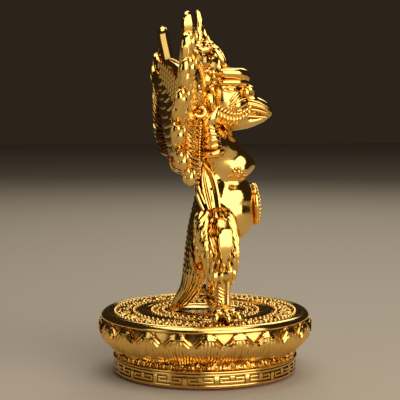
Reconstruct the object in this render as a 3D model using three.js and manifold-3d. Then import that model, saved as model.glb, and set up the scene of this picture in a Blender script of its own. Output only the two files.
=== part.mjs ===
// Garuda figure, cast and gold plated, standing on a round lotus plinth with a pad under it.
// Millimetres, +Z up. The origin is the centre of the underside, and the figure faces -Y.
import * as THREE from 'three';
import { mergeVertices } from 'three/addons/utils/BufferGeometryUtils.js';
import Module from 'manifold-3d';

const wasm = await Module();
wasm.setup();

// Pad under the foot
const padThickness = 1;
const padInset = 2;

// Foot of the plinth: a plain band with a rim, and a slope up to the neck under the lotus bowl
const footRadius = 45.6;
const footBandHeight = 7.4;
const footRimStandout = 0.5;
const footRimHeight = 0.7;
const neckInset = 2.6;
const neckSlopeHeight = 3.6;

// Lotus bowl: its height from the neck up to the plate, its widest radius and its petals
const bowlRadius = 52.6;
const bowlHeight = 17.9;
const bowlOverhang = 3.4;
const petalCount = 22;
const petalRelief = 1.3;
const petalTipHeight = 6.4;
const petalScallop = 0.9;
const petalTurn = 0.19;
const petalEdgeDrop = 0.8;
const rimHeight = 3;

// Top plate: a raised lip round it and two sunk rings that hold the ornament
const lipInset = 3.2;
const lipWidth = 1.6;
const lipHeight = 0.5;
const ringMargin = 1.2;
const outerRingWidth = 10.6;
const plainBandWidth = 7.6;
const innerRingWidth = 9.2;
const ringDepth = 0.9;
const ringSides = 36;

// Figure: laid out on a grid of 148.4 units from soles to crown tip, and scaled to its own height
const figureHeight = 148.4;
const layoutUnits = 148.4;
const buckleRadius = 11;
const buckleThickness = 1.8;
const buckleBulge = 2.4;

const petalPitch = (2 * Math.PI) / petalCount;
const padRadius = footRadius - padInset;
const neckRadius = footRadius - neckInset;
const bowlBottomRadius = neckRadius + bowlOverhang;
const lipRadius = bowlRadius - lipInset;
const outerRingRadius = lipRadius - lipWidth - ringMargin;
const innerRingRadius = outerRingRadius - outerRingWidth - plainBandWidth;
const bandTop = padThickness + footBandHeight;
const neckTop = bandTop + footRimHeight + neckSlopeHeight;
const plateTop = neckTop + bowlHeight;
const unit = figureHeight / layoutUnits;

// A three.js geometry as a closed solid, with its faces turned outwards.
function solidOf(geometry) {
  geometry.deleteAttribute('normal');
  geometry.deleteAttribute('uv');
  const merged = mergeVertices(geometry, 0.0001);
  const points = merged.attributes.position;
  const corners = merged.index.array;
  const kept = [];
  let volume = 0;
  for (let i = 0; i < corners.length; i += 3) {
    const [a, b, c] = [corners[i], corners[i + 1], corners[i + 2]];
    if (a === b || b === c || c === a) continue;
    kept.push(a, b, c);
    const [p, q, r] = [a, b, c].map((n) => new THREE.Vector3().fromBufferAttribute(points, n));
    volume += p.dot(q.cross(r));
  }
  if (volume < 0) kept.reverse();
  return new wasm.Manifold(new wasm.Mesh({
    numProp: 3,
    vertProperties: new Float32Array(points.array),
    triVerts: new Uint32Array(kept),
  }));
}

function join(solids) {
  return wasm.Manifold.union(solids);
}

// A solid as a named mesh.
function meshOf(name, solid, material) {
  const { vertProperties, triVerts } = solid.getMesh();
  const geometry = new THREE.BufferGeometry();
  geometry.setAttribute('position', new THREE.BufferAttribute(vertProperties, 3));
  geometry.setIndex(new THREE.BufferAttribute(triVerts, 1));
  geometry.computeVertexNormals();
  const mesh = new THREE.Mesh(geometry, material);
  mesh.name = name;
  return mesh;
}

// A body turned about Z. The profile is a list of [radius, height], from axis to axis.
// shape(radius, height, angle) may move each ring's points to carve the turned form.
function turned(profile, segments, shape = (radius, height) => [radius, height], start = 0) {
  const points = profile.map(([radius, height]) => new THREE.Vector2(radius, height));
  const geometry = new THREE.LatheGeometry(points, segments, start);
  const position = geometry.attributes.position;
  for (let i = 0; i < position.count; i++) {
    const [x, height, z] = [position.getX(i), position.getY(i), position.getZ(i)];
    const angle = Math.atan2(-z, x);
    const [radius, level] = shape(Math.hypot(x, z), height, angle);
    position.setXYZ(i, radius * Math.cos(angle), radius * Math.sin(angle), level);
  }
  return solidOf(geometry);
}

// An egg-shaped mass, with its poles above and below. lean tips its top backwards.
function mass(centre, radii, columns, rows, lean = 0) {
  const geometry = new THREE.SphereGeometry(1, columns, rows);
  geometry.rotateX(Math.PI / 2);
  geometry.scale(...radii.map((radius) => radius * unit));
  geometry.rotateX(-lean);
  geometry.translate(...centre.map((value) => value * unit));
  return solidOf(geometry);
}

// A body swept along a curve. half(t) gives its half width and half thickness there,
// and the thickness points towards facing.
function swept(curve, half, sides, steps, facing) {
  const geometry = new THREE.CylinderGeometry(1, 1, 1, sides, steps);
  const position = geometry.attributes.position;
  for (let i = 0; i < position.count; i++) {
    const t = Math.min(1, Math.max(0, position.getY(i) + 0.5));
    const [halfWidth, halfThickness] = half(t);
    const along = curve.getTangent(t);
    const outward = facing.clone().addScaledVector(along, -facing.dot(along)).normalize();
    const wide = outward.clone().cross(along);
    const point = curve.getPoint(t);
    point.addScaledVector(wide, position.getX(i) * halfWidth);
    point.addScaledVector(outward, position.getZ(i) * halfThickness);
    point.multiplyScalar(unit);
    position.setXYZ(i, point.x, point.y, point.z);
  }
  return solidOf(geometry);
}

const at = (x, y, z) => new THREE.Vector3(x, y, z);

// A limb through a few points, with a radius at each of them.
function limb(points, radii, sides, steps, flat = 1, facing = at(0, -1, 0)) {
  const curve = new THREE.CatmullRomCurve3(points.map((p) => at(...p)));
  const radiusAt = (t) => {
    const place = t * (radii.length - 1);
    const before = Math.min(Math.floor(place), radii.length - 2);
    return THREE.MathUtils.lerp(radii[before], radii[before + 1], place - before);
  };
  return swept(curve, (t) => [radiusAt(t), radiusAt(t) * flat], sides, steps, facing);
}

// A feather: a flat leaf with a raised midrib, from its root over a bend point to its tip.
function feather(root, bend, tip, halfWidth, halfThickness, facing, blunt = 0.35, steps = 3) {
  const curve = new THREE.QuadraticBezierCurve3(root, bend, tip);
  const half = (t) => {
    const swell = Math.sin(Math.PI * (0.2 + 0.5 * t));
    const taper = t < 0.7 ? 1 : 1 - (1 - blunt) * ((t - 0.7) / 0.3);
    return [halfWidth * swell * taper, halfThickness * (1 - 0.45 * t)];
  };
  return swept(curve, half, 4, steps, facing);
}

// Plinth and pad

// How far an angle lies from the middle of its petal: 0 at the tip line, 1 where two petals meet.
function petalPhase(angle) {
  const turns = (angle + Math.PI / 2) / petalPitch - petalTurn;
  return Math.abs(turns - Math.round(turns)) * 2;
}

function lotusPlinth() {
  const foot = turned([
    [0, padThickness],
    [footRadius, padThickness],
    [footRadius, bandTop],
    [footRadius + footRimStandout, bandTop + footRimHeight / 2],
    [footRadius, bandTop + footRimHeight],
    [neckRadius, neckTop],
    [neckRadius, neckTop + petalScallop * 2],
    [0, neckTop + petalScallop * 2],
  ], ringSides);

  // The petals stand proud at their middles. Between their tips the bowl is sunk.
  const petalFoot = neckTop + petalScallop;
  const rimTop = plateTop + lipHeight;
  const tipTop = rimTop - rimHeight;
  const shoulder = tipTop - petalTipHeight;
  const bowl = turned([
    [0, petalFoot],
    [bowlBottomRadius, petalFoot],
    [bowlRadius - 2 * petalRelief, petalFoot + (shoulder - petalFoot) / 2],
    [bowlRadius, shoulder],
    [bowlRadius - petalRelief, shoulder + petalEdgeDrop / 2],
    [bowlRadius - petalEdgeDrop, tipTop],
    [lipRadius, rimTop],
    [lipRadius - lipWidth, rimTop],
    [lipRadius - lipWidth * 1.2, plateTop],
    [0, plateTop],
  ], petalCount * 3, (radius, height, angle) => {
    const phase = petalPhase(angle);
    const onEdge = height >= shoulder && height < tipTop;
    if (onEdge) return [radius, height + (petalTipHeight - petalEdgeDrop) * Math.max(0, 1 - 1.5 * phase)];
    if (height > petalFoot && height < shoulder) return [radius - petalRelief * 0.6 * phase, height];
    const atBottom = height === petalFoot && radius > neckRadius;
    if (atBottom) return [radius - petalRelief * phase, height - petalScallop * (1 - phase)];
    return [radius, height];
  }, petalTurn * petalPitch);

  const ring = (outer, width) => turned([
    [outer - width, plateTop - ringDepth],
    [outer, plateTop - ringDepth],
    [outer, plateTop + lipHeight / 2],
    [outer - width, plateTop + lipHeight / 2],
    [outer - width, plateTop - ringDepth],
  ], ringSides);
  return foot.add(bowl)
    .subtract(ring(outerRingRadius, outerRingWidth))
    .subtract(ring(innerRingRadius, innerRingWidth));
}

function basePad() {
  return turned([[0, 0], [padRadius, 0], [padRadius, padThickness], [0, padThickness]], ringSides);
}

// Figure. All places are in layout units, with z measured up from the soles.

const backward = at(0, 1, 0);

function torso() {
  return [
    mass([0, -10.5, 49.6], [17, 15, 16.4], 12, 7),
    mass([0, -4, 58], [15.5, 10.5, 12], 8, 4),
    mass([0, -6.5, 74], [16.5, 13, 14], 10, 6),
    mass([0, -2, 43], [16, 11, 13], 8, 4),
    mass([-6.6, -15, 73], [8.6, 9.8, 6.8], 8, 5, -0.25),
    mass([6.6, -15, 73], [8.6, 9.8, 6.8], 8, 5, -0.25),
    limb([[0, -4, 92], [0, -8.5, 83], [0, -16, 75]], [6.5, 9.5, 7.5], 8, 2, 0.75),
    limb([[0, -6, 76], [0, -5.5, 86], [0, -7, 95]], [11, 8.5, 8.5], 8, 1),
  ];
}

function buckle() {
  const radius = buckleRadius;
  const stemRadius = radius * 0.45;
  const stemLength = 4;
  const plate = turned([
    [0, 0],
    [radius, -buckleBulge],
    [radius, buckleThickness - buckleBulge],
    [radius * 0.7, buckleThickness],
    [0, buckleThickness + buckleBulge / 4],
  ], 14);
  const stem = turned([
    [0, -stemLength],
    [stemRadius, -stemLength],
    [stemRadius, buckleThickness / 2],
    [0, buckleThickness / 2],
  ], 6);
  return [plate.add(stem).rotate([86, 0, 0]).translate([0, -26.2 * unit, 52.9 * unit])];
}

function head() {
  const pieces = [
    mass([0, -9.5, 105.5], [11, 12, 15.5], 8, 6),
    mass([0, -14.2, 115.2], [8.6, 8.8, 5.6], 8, 5),
    mass([-5, -15.2, 111], [4.6, 6.5, 3.4], 6, 4),
    mass([5, -15.2, 111], [4.6, 6.5, 3.4], 6, 4),
    mass([0, -21.2, 108.6], [3.9, 3.4, 3.2], 6, 4),
  ];
  // Beak: the upper half hooks down over the lower one.
  const upper = new THREE.CatmullRomCurve3([
    at(0, -14, 101.6), at(0, -22, 101.8), at(0, -28.4, 100.8), at(0, -31.6, 98),
  ]);
  pieces.push(swept(upper, (t) => [7.6 - 4.8 * t, 5.6 - 1.9 * t * t], 6, 3, at(0, 0, 1)));
  const lower = new THREE.CatmullRomCurve3([at(0, -12, 93), at(0, -22, 94.6), at(0, -31.4, 96)]);
  pieces.push(swept(lower, (t) => [7.6 - 5.6 * t, 4.9 - 3 * t], 6, 2, at(0, 0, 1)));
  pieces.push(mass([0, -11.5, 96.5], [9.8, 12.5, 6.4], 6, 4));
  // Curled beard along each side of the jaw
  const curls = 3;
  for (const side of [-1, 1]) {
    for (let i = 0; i < curls; i++) {
      const share = i / (curls - 1);
      const root = at(side * (8.5 - 3 * share), -6 - 14 * share, 97 + 1.5 * share);
      const tip = at(side * (9.6 - 3.5 * share), -6.5 - 15 * share, 91.4 + 4 * share * share);
      const bend = at(side * (12 - 3 * share), -8 - 14 * share, 94.5 + 2.5 * share);
      pieces.push(feather(root, bend, tip, 2.9, 1.7, at(side, -0.3, 0), 0.3, 2));
    }
    // Guard with flame tips behind the cheek, and the disc over the ear
    pieces.push(limb(
      [[side * 9.5, -3.5, 90], [side * 11.5, -3, 100], [side * 11.6, -2.4, 110], [side * 9.5, -1.5, 122]],
      [2.2, 3.4, 4.2, 1.2], 6, 3, 0.6, at(side, 0, 0)));
    pieces.push(mass([side * 11.6, 0.5, 113.5], [2.6, 4.2, 4.2], 6, 4));
    pieces.push(feather(at(side * 11.5, 1, 104), at(side * 14, 4, 109), at(side * 12.5, 3.4, 117.5),
      2.4, 1.3, at(side, 0, 0), 0.3, 2));
  }
  return pieces;
}

// Tall tapering crown: stepped tiers on an axis that leans back, with flame leaves round them.
function crown() {
  const base = at(0, -1.6, 112);
  const tip = at(0, 3.9, layoutUnits);
  const tiers = [
    [0, 10.2], [0.13, 10.8], [0.16, 10.2], [0.38, 10.4], [0.41, 9.2],
    [0.48, 8.4], [0.58, 5.4], [0.66, 3.2], [1, 1.1],
  ];
  const height = tip.z - base.z;
  const profile = [[0, 0], ...tiers.map(([share, radius]) => [radius * unit, share * height * unit])];
  profile.push([0, height * unit]);
  const lean = (tip.y - base.y) / height;
  const body = turned(profile, 8).transform([
    1, 0, 0, 0,
    0, 1, 0, 0,
    0, lean, 1, 0,
    0, base.y * unit, base.z * unit, 1,
  ]);
  const pieces = [body];
  // Flame leaves round the crown's band
  const leafCount = 6;
  const leafRadius = 9.6;
  const leafHeight = 9;
  const level = base.z + 0.1 * height;
  const axis = base.y + 0.1 * lean * height;
  for (let i = 0; i < leafCount; i++) {
    const angle = ((i + 0.5) / leafCount) * 2 * Math.PI;
    const out = at(Math.cos(angle), Math.sin(angle), 0);
    const place = (reach, rise) => out.clone().multiplyScalar(leafRadius + reach).add(at(0, axis, level + rise));
    pieces.push(feather(place(0, 0), place(2.2, leafHeight / 2), place(-0.6, leafHeight), 2.3, 1.2, out, 0.25, 2));
  }
  return pieces;
}

// Arm: the elbow is held low and out, and the forearm stands upright with a fist at the cheek's height.
function arm(side) {
  const shoulder = [side * 12, -3, 83];
  const elbow = [side * 27.5, -0.4, 79.5];
  const wrist = [side * 29.4, 3, 96];
  return [
    limb([shoulder, [side * 20, -2.8, 83.6], elbow], [7, 6.4, 5.6], 8, 2),
    limb([elbow, [side * 29, 0.4, 88], wrist], [5.6, 5.4, 4.2], 6, 1),
    mass([side * 29, 5.2, 99.4], [4.8, 5, 5.1], 6, 3),
    // Broad bangle over the elbow, and the flap of the sleeve beside the fist
    limb([[side * 28, 0, 77.6], [side * 28.4, 0.2, 80.6]], [6.8, 6.8], 6, 1),
    limb([[side * 31, 0.4, 91], [side * 32, 0.2, 95.5], [side * 31.6, -1.8, 102]],
      [4.6, 3.6, 0.9], 6, 2, 0.45, at(side, 0, 0)),
  ];
}

// Depth of a wing's middle surface: swept back from the root, and dished forwards above and below.
// The top of the right wing (side -1) comes further forward than that of the left one.
function wingDepth(side, out, up) {
  const above = Math.max(0, up - 90);
  const below = Math.max(0, 90 - up);
  const topDish = side < 0 ? Math.min(5.4, 0.0075 * above ** 2) : 0.0011 * above ** 2;
  const dish = topDish + 0.0045 * below ** 2;
  return 4.5 + 0.32 * (out - 8) - (dish * out) / 59;
}

function wing(side) {
  const onWing = (out, up, lift = 0) => at(side * out, wingDepth(side, out, up) + lift, up);
  const facing = at(-side * 0.3, 0.95, 0);
  const pieces = [];
  // Upright feather at the wing's top. On the left wing it stands in front of the others.
  const lifts = side < 0 ? [0, 0, 0] : [-3.5, -5.5, -1.5];
  pieces.push(feather(onWing(44, 116, lifts[0]), onWing(53, 119, lifts[1]), onWing(57, 144.6, lifts[2]),
    4.6, 3.2, facing, 0.62, 3));
  // Fan of long feathers below it, each with its root, its bend and its upturned tip
  const fan = [
    [[40, 111], [55, 114], [59.5, 135]],
    [[36, 105], [52, 103], [61, 120]],
    [[31, 99], [49, 92], [61.5, 104]],
    [[26, 93], [44, 81], [60, 90.5]],
    [[20, 88], [38, 72], [56, 79]],
    [[13, 85], [27, 67], [44, 69.5]],
  ];
  for (const [root, bend, tip] of fan) {
    pieces.push(feather(onWing(...root), onWing(...bend), onWing(...tip), 7.2, 2.3, facing, 0.5, 2));
  }
  // Shorter feathers over their roots, showing on the front and on the back
  for (const share of [0.2, 0.75]) {
    const root = [36 - 24 * share, 117 - 24 * share];
    const bend = [46 - 20 * share, 112 - 31 * share];
    const tip = [53 - 18 * share, 119 - 40 * share];
    pieces.push(feather(onWing(...root), onWing(...bend), onWing(...tip), 8.4, 4, facing, 0.4, 2));
  }
  // Leading edge: a thick covered bone from the back out to the foot of the upright feather
  pieces.push(limb(
    [[side * 5, 2, 92], ...[[12, 108, -0.6], [27, 117, -1.6], [48, 123, -2.8]]
      .map((place) => onWing(...place).toArray())],
    [8, 6, 5, 3.4], 6, 3, 0.75));
  // Panel that carries the feathers, cast in one with them
  const outline = [
    [6, 74], [20, 72], [36, 71], [48, 78], [54, 90], [56, 104], [55, 118], [50, 127], [27, 120], [12, 112], [6, 100],
  ];
  const shape = new THREE.Shape(outline.map(([out, up]) => new THREE.Vector2(out, up)));
  const panel = new THREE.ExtrudeGeometry(shape, { depth: 3, steps: 1, bevelEnabled: false });
  const position = panel.attributes.position;
  for (let i = 0; i < position.count; i++) {
    const point = onWing(position.getX(i), position.getY(i), position.getZ(i) - 1.5).multiplyScalar(unit);
    position.setXYZ(i, point.x, point.y, point.z);
  }
  pieces.push(solidOf(panel));
  return pieces;
}

function leg(side) {
  const stepForward = side > 0 ? 3.2 : 0;
  const y = (value) => value - stepForward;
  const pieces = [
    limb([[side * 10, -4, 50], [side * 19, y(-4.6), 42], [side * 25, y(-4.6), 30], [side * 28, y(-4.4), 16]],
      [11, 10.6, 8.8, 5.6], 8, 3),
    limb([[side * 28, y(-4.6), 22], [side * 28.6, y(-4.4), 12], [side * 29, y(-4.4), 4]], [4.8, 4, 3.8], 6, 1),
  ];
  // Feathers down the outside and front of the thigh, in staggered rows
  const rows = [[40, 3, 9.6, 0.3], [29, 4, 6.8, 0]];
  for (const [level, count, reach, shift] of rows) {
    for (let i = 0; i < count; i++) {
      const angle = ((i + shift) / count) * Math.PI * 1.3 - Math.PI * 0.72;
      const out = at(Math.cos(angle) * side, Math.sin(angle), 0);
      const axis = at(side * THREE.MathUtils.mapLinear(Math.sqrt(50 - level), 0, Math.sqrt(33), 10, 28), y(-5), 0);
      const place = (away, z) => axis.clone().addScaledVector(out, away).setZ(z);
      pieces.push(feather(place(reach - 2.5, level), place(reach + 1, level - 5), place(reach - 1, level - 12),
        3.6, 1.6, out, 0.25, 2));
    }
  }
  // Foot turned outwards: ankle, three toes and a hind toe, soles flat on the plate
  const foot = [mass([side * 31, y(-4.8), 2.8], [5.6, 4.8, 4.6], 6, 4)];
  for (const spread of [-0.42, 0.12, 0.66]) {
    const ahead = (reach, z) => [side * (31 + reach * Math.cos(spread)), y(-4.8 - reach * Math.sin(spread)), z];
    foot.push(limb([ahead(1, 2.8), ahead(7.5, 3.6), ahead(13, 0.9)], [2.9, 2.9, 0.9], 5, 2));
  }
  foot.push(limb([[side * 29, y(-4.6), 2.8], [side * 24, y(-4.6), 0.9]], [2.6, 0.9], 4, 1));
  return [...pieces, ...foot];
}

// Tail: long ridged feathers from the rump down to the plate, spread like a fan.
function tail() {
  const spine = new THREE.CatmullRomCurve3([at(0, -3, 56), at(0, 1, 38), at(0, 4.2, 22), at(0, 7, 10), at(0, 13, 1)]);
  const pieces = [
    swept(spine, (t) => [14.5 - 10 * t * t, 8 - 3.4 * t - 2.4 * t ** 4], 6, 4, backward),
  ];
  const count = 5;
  for (let i = 0; i < count; i++) {
    const spread = (i / (count - 1)) * 2 - 1;
    const reach = 1 - Math.abs(spread);
    const root = at(spread * 8.4, 5, 50);
    const bend = at(spread * 14, 6.4 + 0.8 * reach, 15);
    const tip = at(spread * 7.5, 10 + 5.4 * reach, 0.6 + 12 * Math.abs(spread));
    pieces.push(feather(root, bend, tip, 4, 2.4, backward, 0.4, 2));
  }
  // Short feathers over the rump
  for (const spread of [-1, 0, 1]) {
    const wrap = Math.abs(spread);
    pieces.push(feather(at(spread * 11, 2.6 - 3 * wrap, 56), at(spread * 13, 9.7 - 5 * wrap, 43.6),
      at(spread * 13, 8.8 - 5 * wrap, 31), 4.6, 1.6, backward, 0.3, 2));
  }
  return pieces;
}

// Long sash feathers that fall from the ribs over each hip
function sash(side) {
  return [
    feather(at(side * 15, 1, 70), at(side * 19, -6, 58), at(side * 18.5, -6.5, 36), 3.4, 1.6, at(side, -0.3, 0)),
    feather(at(side * 14, 5, 66), at(side * 17, 3, 58), at(side * 17, 2, 48), 3.2, 1.5, at(side, 0.4, 0)),
  ];
}

function garuda() {
  const whole = join([
    ...torso(), ...buckle(), ...head(), ...crown(), ...tail(),
    ...[-1, 1].flatMap((side) => [...arm(side), ...wing(side), ...leg(side), ...sash(side)]),
  ]);
  // The soles are cut flat where they stand on the plate.
  const reach = bowlRadius * 2;
  const ground = new THREE.BoxGeometry(reach, reach, reach).translate(0, 0, -reach / 2);
  return whole.subtract(solidOf(ground)).translate([0, 0, plateTop]);
}

const polishedGold = new THREE.MeshStandardMaterial({ color: 0xe0a63a, roughness: 0.16, metalness: 1 });
const plinthGold = new THREE.MeshStandardMaterial({ color: 0xd79c34, roughness: 0.18, metalness: 1 });
const redPad = new THREE.MeshStandardMaterial({ color: 0xa81c18, roughness: 0.9, metalness: 0 });

const group = new THREE.Group();
group.add(meshOf('base_pad', basePad(), redPad));
group.add(meshOf('lotus_plinth', lotusPlinth(), plinthGold));
group.add(meshOf('garuda', garuda(), polishedGold));

export default group;
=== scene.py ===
import math
import re

import bpy
import numpy as np
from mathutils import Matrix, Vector
from mathutils.bvhtree import BVHTree


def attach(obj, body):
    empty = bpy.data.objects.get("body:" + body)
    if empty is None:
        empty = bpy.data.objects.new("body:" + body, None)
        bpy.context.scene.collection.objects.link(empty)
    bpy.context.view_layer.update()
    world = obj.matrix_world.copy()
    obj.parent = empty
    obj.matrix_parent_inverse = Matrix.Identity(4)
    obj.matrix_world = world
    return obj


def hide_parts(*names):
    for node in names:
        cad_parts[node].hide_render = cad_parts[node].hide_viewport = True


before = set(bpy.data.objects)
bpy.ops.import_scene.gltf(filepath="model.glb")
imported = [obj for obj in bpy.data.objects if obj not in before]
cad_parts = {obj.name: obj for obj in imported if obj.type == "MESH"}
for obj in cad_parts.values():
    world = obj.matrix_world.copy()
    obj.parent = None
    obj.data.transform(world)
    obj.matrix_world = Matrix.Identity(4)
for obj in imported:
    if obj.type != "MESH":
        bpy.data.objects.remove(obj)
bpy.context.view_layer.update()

# Gold-plated garuda figure on a round lotus plinth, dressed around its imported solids.
# Sizes are in millimetres until a mesh is made. +Z is up, the figure faces -Y, its right side is at -X.
scene = bpy.context.scene

# Camera: a long lens at the height of the beak, on the figure's right side and a little behind it,
# tipped down so that the whole plinth shows. Distances are in metres.
camera_distance = 0.59647
camera_height = 0.13589
camera_azimuth = math.radians(-97)
camera_pitch = math.radians(4.82)
back = Vector((math.sin(camera_azimuth), -math.cos(camera_azimuth), 0))
camera = bpy.data.objects.new("camera", bpy.data.cameras.new("camera"))
camera.location = back * camera_distance + Vector((0, 0, camera_height))
looks = -back * math.cos(camera_pitch) - Vector((0, 0, math.sin(camera_pitch)))
camera.rotation_mode = "QUATERNION"
camera.rotation_quaternion = looks.to_track_quat("-Z", "Y")
camera.data.lens = 108.3
camera.data.sensor_width = 36
camera.data.shift_x = -0.0125
camera.data.clip_start = 0.01
camera.data.clip_end = 20
scene.collection.objects.link(camera)
scene.camera = camera


# Base pad: a thin disc of red felt, cut a little smaller than the foot and glued under it.
# Its edge is the red line that shows below the foot.
def turns(count, offset=0.0):
    """Angles of a number of places spread evenly round a circle."""
    return (np.arange(count) + offset) * 2 * math.pi / count


def shell_of(rings, closed_start=True, closed_end=True):
    """Points and faces of a body given by its rings, an array of ring, point and coordinate."""
    count, sides = rings.shape[0], rings.shape[1]
    points = rings.reshape(-1, 3)
    here = np.arange(sides)
    following = (here + 1) % sides
    faces = []
    for ring in range(count - 1):
        low, high = ring * sides, (ring + 1) * sides
        faces.append(np.stack([low + here, low + following, high + following, high + here], 1))
    faces = [tuple(face) for face in np.concatenate(faces).tolist()]
    if closed_start:
        points = np.vstack([points, rings[0].mean(0)])
        centre = len(points) - 1
        faces += [(int(b), int(a), centre) for a, b in zip(here, following)]
    if closed_end:
        points = np.vstack([points, rings[-1].mean(0)])
        centre = len(points) - 1
        last = (count - 1) * sides
        faces += [(int(last + a), int(last + b), centre) for a, b in zip(here, following)]
    return outwards(points, faces)


def outwards(points, faces):
    """The same shell with its faces turned outwards."""
    triangles = np.array([(f[0], f[i], f[i + 1]) for f in faces for i in range(1, len(f) - 1)])
    a, b, c = (points[triangles[:, i]] for i in range(3))
    if np.einsum("ij,ij->i", a, np.cross(b, c)).sum() < 0:
        faces = [face[::-1] for face in faces]
    return points, faces


def turned(profile, columns, shape=None):
    """A body turned about Z from a list of radius and height, which shape may carve."""
    angles = turns(columns)
    rings = np.zeros((len(profile), columns, 3))
    for row, (radius, height) in enumerate(profile):
        radii = np.full(columns, float(radius))
        heights = np.full(columns, float(height))
        if shape:
            radii, heights = shape(row, radii, heights, angles)
        rings[row, :, 0] = radii * np.cos(angles)
        rings[row, :, 1] = radii * np.sin(angles)
        rings[row, :, 2] = heights
    return shell_of(rings)


def mesh_object(name, shells, sharp_angle=40):
    """One object in metres out of shells in millimetres, smooth apart from its sharp edges."""
    points = []
    faces = []
    start = 0
    for shell_points, shell_faces in shells:
        points.append(shell_points)
        faces += [tuple(index + start for index in face) for face in shell_faces]
        start += len(shell_points)
    mesh = bpy.data.meshes.new(name)
    mesh.from_pydata((np.vstack(points) * 0.001).tolist(), [], faces)
    mesh.shade_smooth()
    mesh.set_sharp_from_angle(angle=math.radians(sharp_angle))
    made = bpy.data.objects.new(name, mesh)
    scene.collection.objects.link(made)
    return made


def new_material(name):
    """A material with its nodes and its links."""
    material = bpy.data.materials.new(name)
    material.use_nodes = True
    return material, material.node_tree.nodes, material.node_tree.links


def new_node(nodes, kind, **values):
    """A node with some of its inputs set. An input's name is written small, with _ for a blank."""
    node = nodes.new("ShaderNode" + kind)
    for name, value in values.items():
        node.inputs[name.replace("_", " ").title()].default_value = value
    return node


def new_ramp(nodes, dark_or_shade, pale, start=0.0, end=1.0):
    """A node that turns a value from start to end into a colour from a dark one to a pale one. The gold
    finishes use the dark colour as painted shade.
    """
    ramp = nodes.new("ShaderNodeValToRGB")
    for element, colour, position in zip(ramp.color_ramp.elements, (dark_or_shade, pale), (start, end)):
        element.position = position
        element.color = (*colour, 1)
    return ramp


pad_radius = 43.6
pad_thickness = 1.0
pad_columns = 240
pad_profile = [
    (0, 0), (pad_radius - 0.3, 0), (pad_radius, 0.2),
    (pad_radius, pad_thickness - 0.2), (pad_radius - 0.3, pad_thickness), (0, pad_thickness),
]


def ragged(row, radii, heights, angles):
    """The cut edge of the felt wanders a little."""
    if row in (0, len(pad_profile) - 1):
        return radii, heights
    wander = 0.05 * np.sin(37 * angles) + 0.04 * np.sin(61 * angles + 1.3)
    return radii - 0.1 + wander, heights


pad = mesh_object("red_felt_pad", [turned(pad_profile, pad_columns, ragged)])
red_felt, nodes, links = new_material("red_felt")
shader = nodes["Principled BSDF"]
shader.inputs["Roughness"].default_value = 0.95
shader.inputs["Sheen Weight"].default_value = 0.4
fibres = new_node(nodes, "TexNoise", scale=2200, detail=3)
colours = new_ramp(nodes, (0.22, 0.008, 0.008), (0.60, 0.035, 0.03))
links.new(fibres.outputs["Fac"], colours.inputs["Fac"])
links.new(colours.outputs["Color"], shader.inputs["Base Color"])
nap = new_node(nodes, "Bump", strength=0.5, distance=0.0003)
links.new(fibres.outputs["Fac"], nap.inputs["Height"])
links.new(nap.outputs["Normal"], shader.inputs["Normal"])
pad.data.materials.append(red_felt)
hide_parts("base_pad")
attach(pad, "root")

# Lotus plinth: one hollow casting in zinc alloy, polished and gold plated. Foot band with a meander,
# slope with scrolls, bowl of twenty-two petals under a plain rim, and a plate with two sunk rings.
petal_count = 22
petal_turn = 0.19
petal_columns = 32
petal_pitch = 2 * math.pi / petal_count
bowl_radius = 52.6
petal_half_width = bowl_radius * petal_pitch / 2
bowl_foot_radius = 46.4
# Levels: where the bowl starts, where its ribs end, where it is widest, where its rim starts, and its plate
bowl_foot = 13.6
ribs_top = 20.4
widest_level = 21.7
rim_foot = 27.9
plate_top = 30.6


def smooth_step(low, high, values):
    """Rises smoothly from 0 at low to 1 at high."""
    share = np.clip((values - low) / (high - low), 0, 1)
    return share * share * (3 - 2 * share)


def across_petal(angles):
    """How far each angle is from the middle of its petal, in millimetres along the rim, with its sign."""
    place = (angles + math.pi / 2) / petal_pitch - petal_turn
    return (place - np.round(place)) * petal_pitch * bowl_radius


def bowl_radius_at(heights):
    """Radius of the bowl without its relief."""
    rise = np.clip((heights - bowl_foot) / (widest_level - bowl_foot), 0, 1)
    radii = bowl_foot_radius + (bowl_radius - bowl_foot_radius) * np.sin(rise * math.pi / 2) ** 0.92
    above = np.clip(heights - widest_level, 0, 10)
    return radii - 0.02 * above ** 2


foot_profile = [
    (0, 1.0), (45.0, 1.0), (45.4, 1.2), (45.4, 1.5), (44.75, 1.65), (44.75, 7.75), (45.3, 7.9), (45.5, 8.1),
    (46.0, 8.4), (46.1, 8.75), (45.95, 9.1),
    (45.4, 9.35), (44.85, 9.6), (44.3, 10.6), (43.75, 11.6), (43.35, 12.4), (43.1, 13.0), (43.1, 14.4),
]
rib_pitch = 1.85
# The rows of the bowl are its foot, the ribbed body, the edges of the petal and the recess above them.
bowl_rows = len(foot_profile)
lower_rows = 13
edge_rows = 7
rim_profile = [
    (51.5, 27.95), (51.95, 28.25), (52.05, 28.7), (51.85, 29.3), (51.35, 29.95), (50.6, 30.55),
    (49.9, 30.9), (49.2, 31.08), (48.4, 31.1), (48.0, 30.95), (47.8, 30.5), (47.6, 29.0), (0, 29.0),
]
bowl_profile = (
    foot_profile
    + [(45.0, bowl_foot)]
    + [(bowl_radius_at(z), z) for z in np.linspace(bowl_foot, ribs_top, lower_rows)]
    + [(bowl_radius, 22 + row) for row in range(edge_rows)]
    + rim_profile
)


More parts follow.
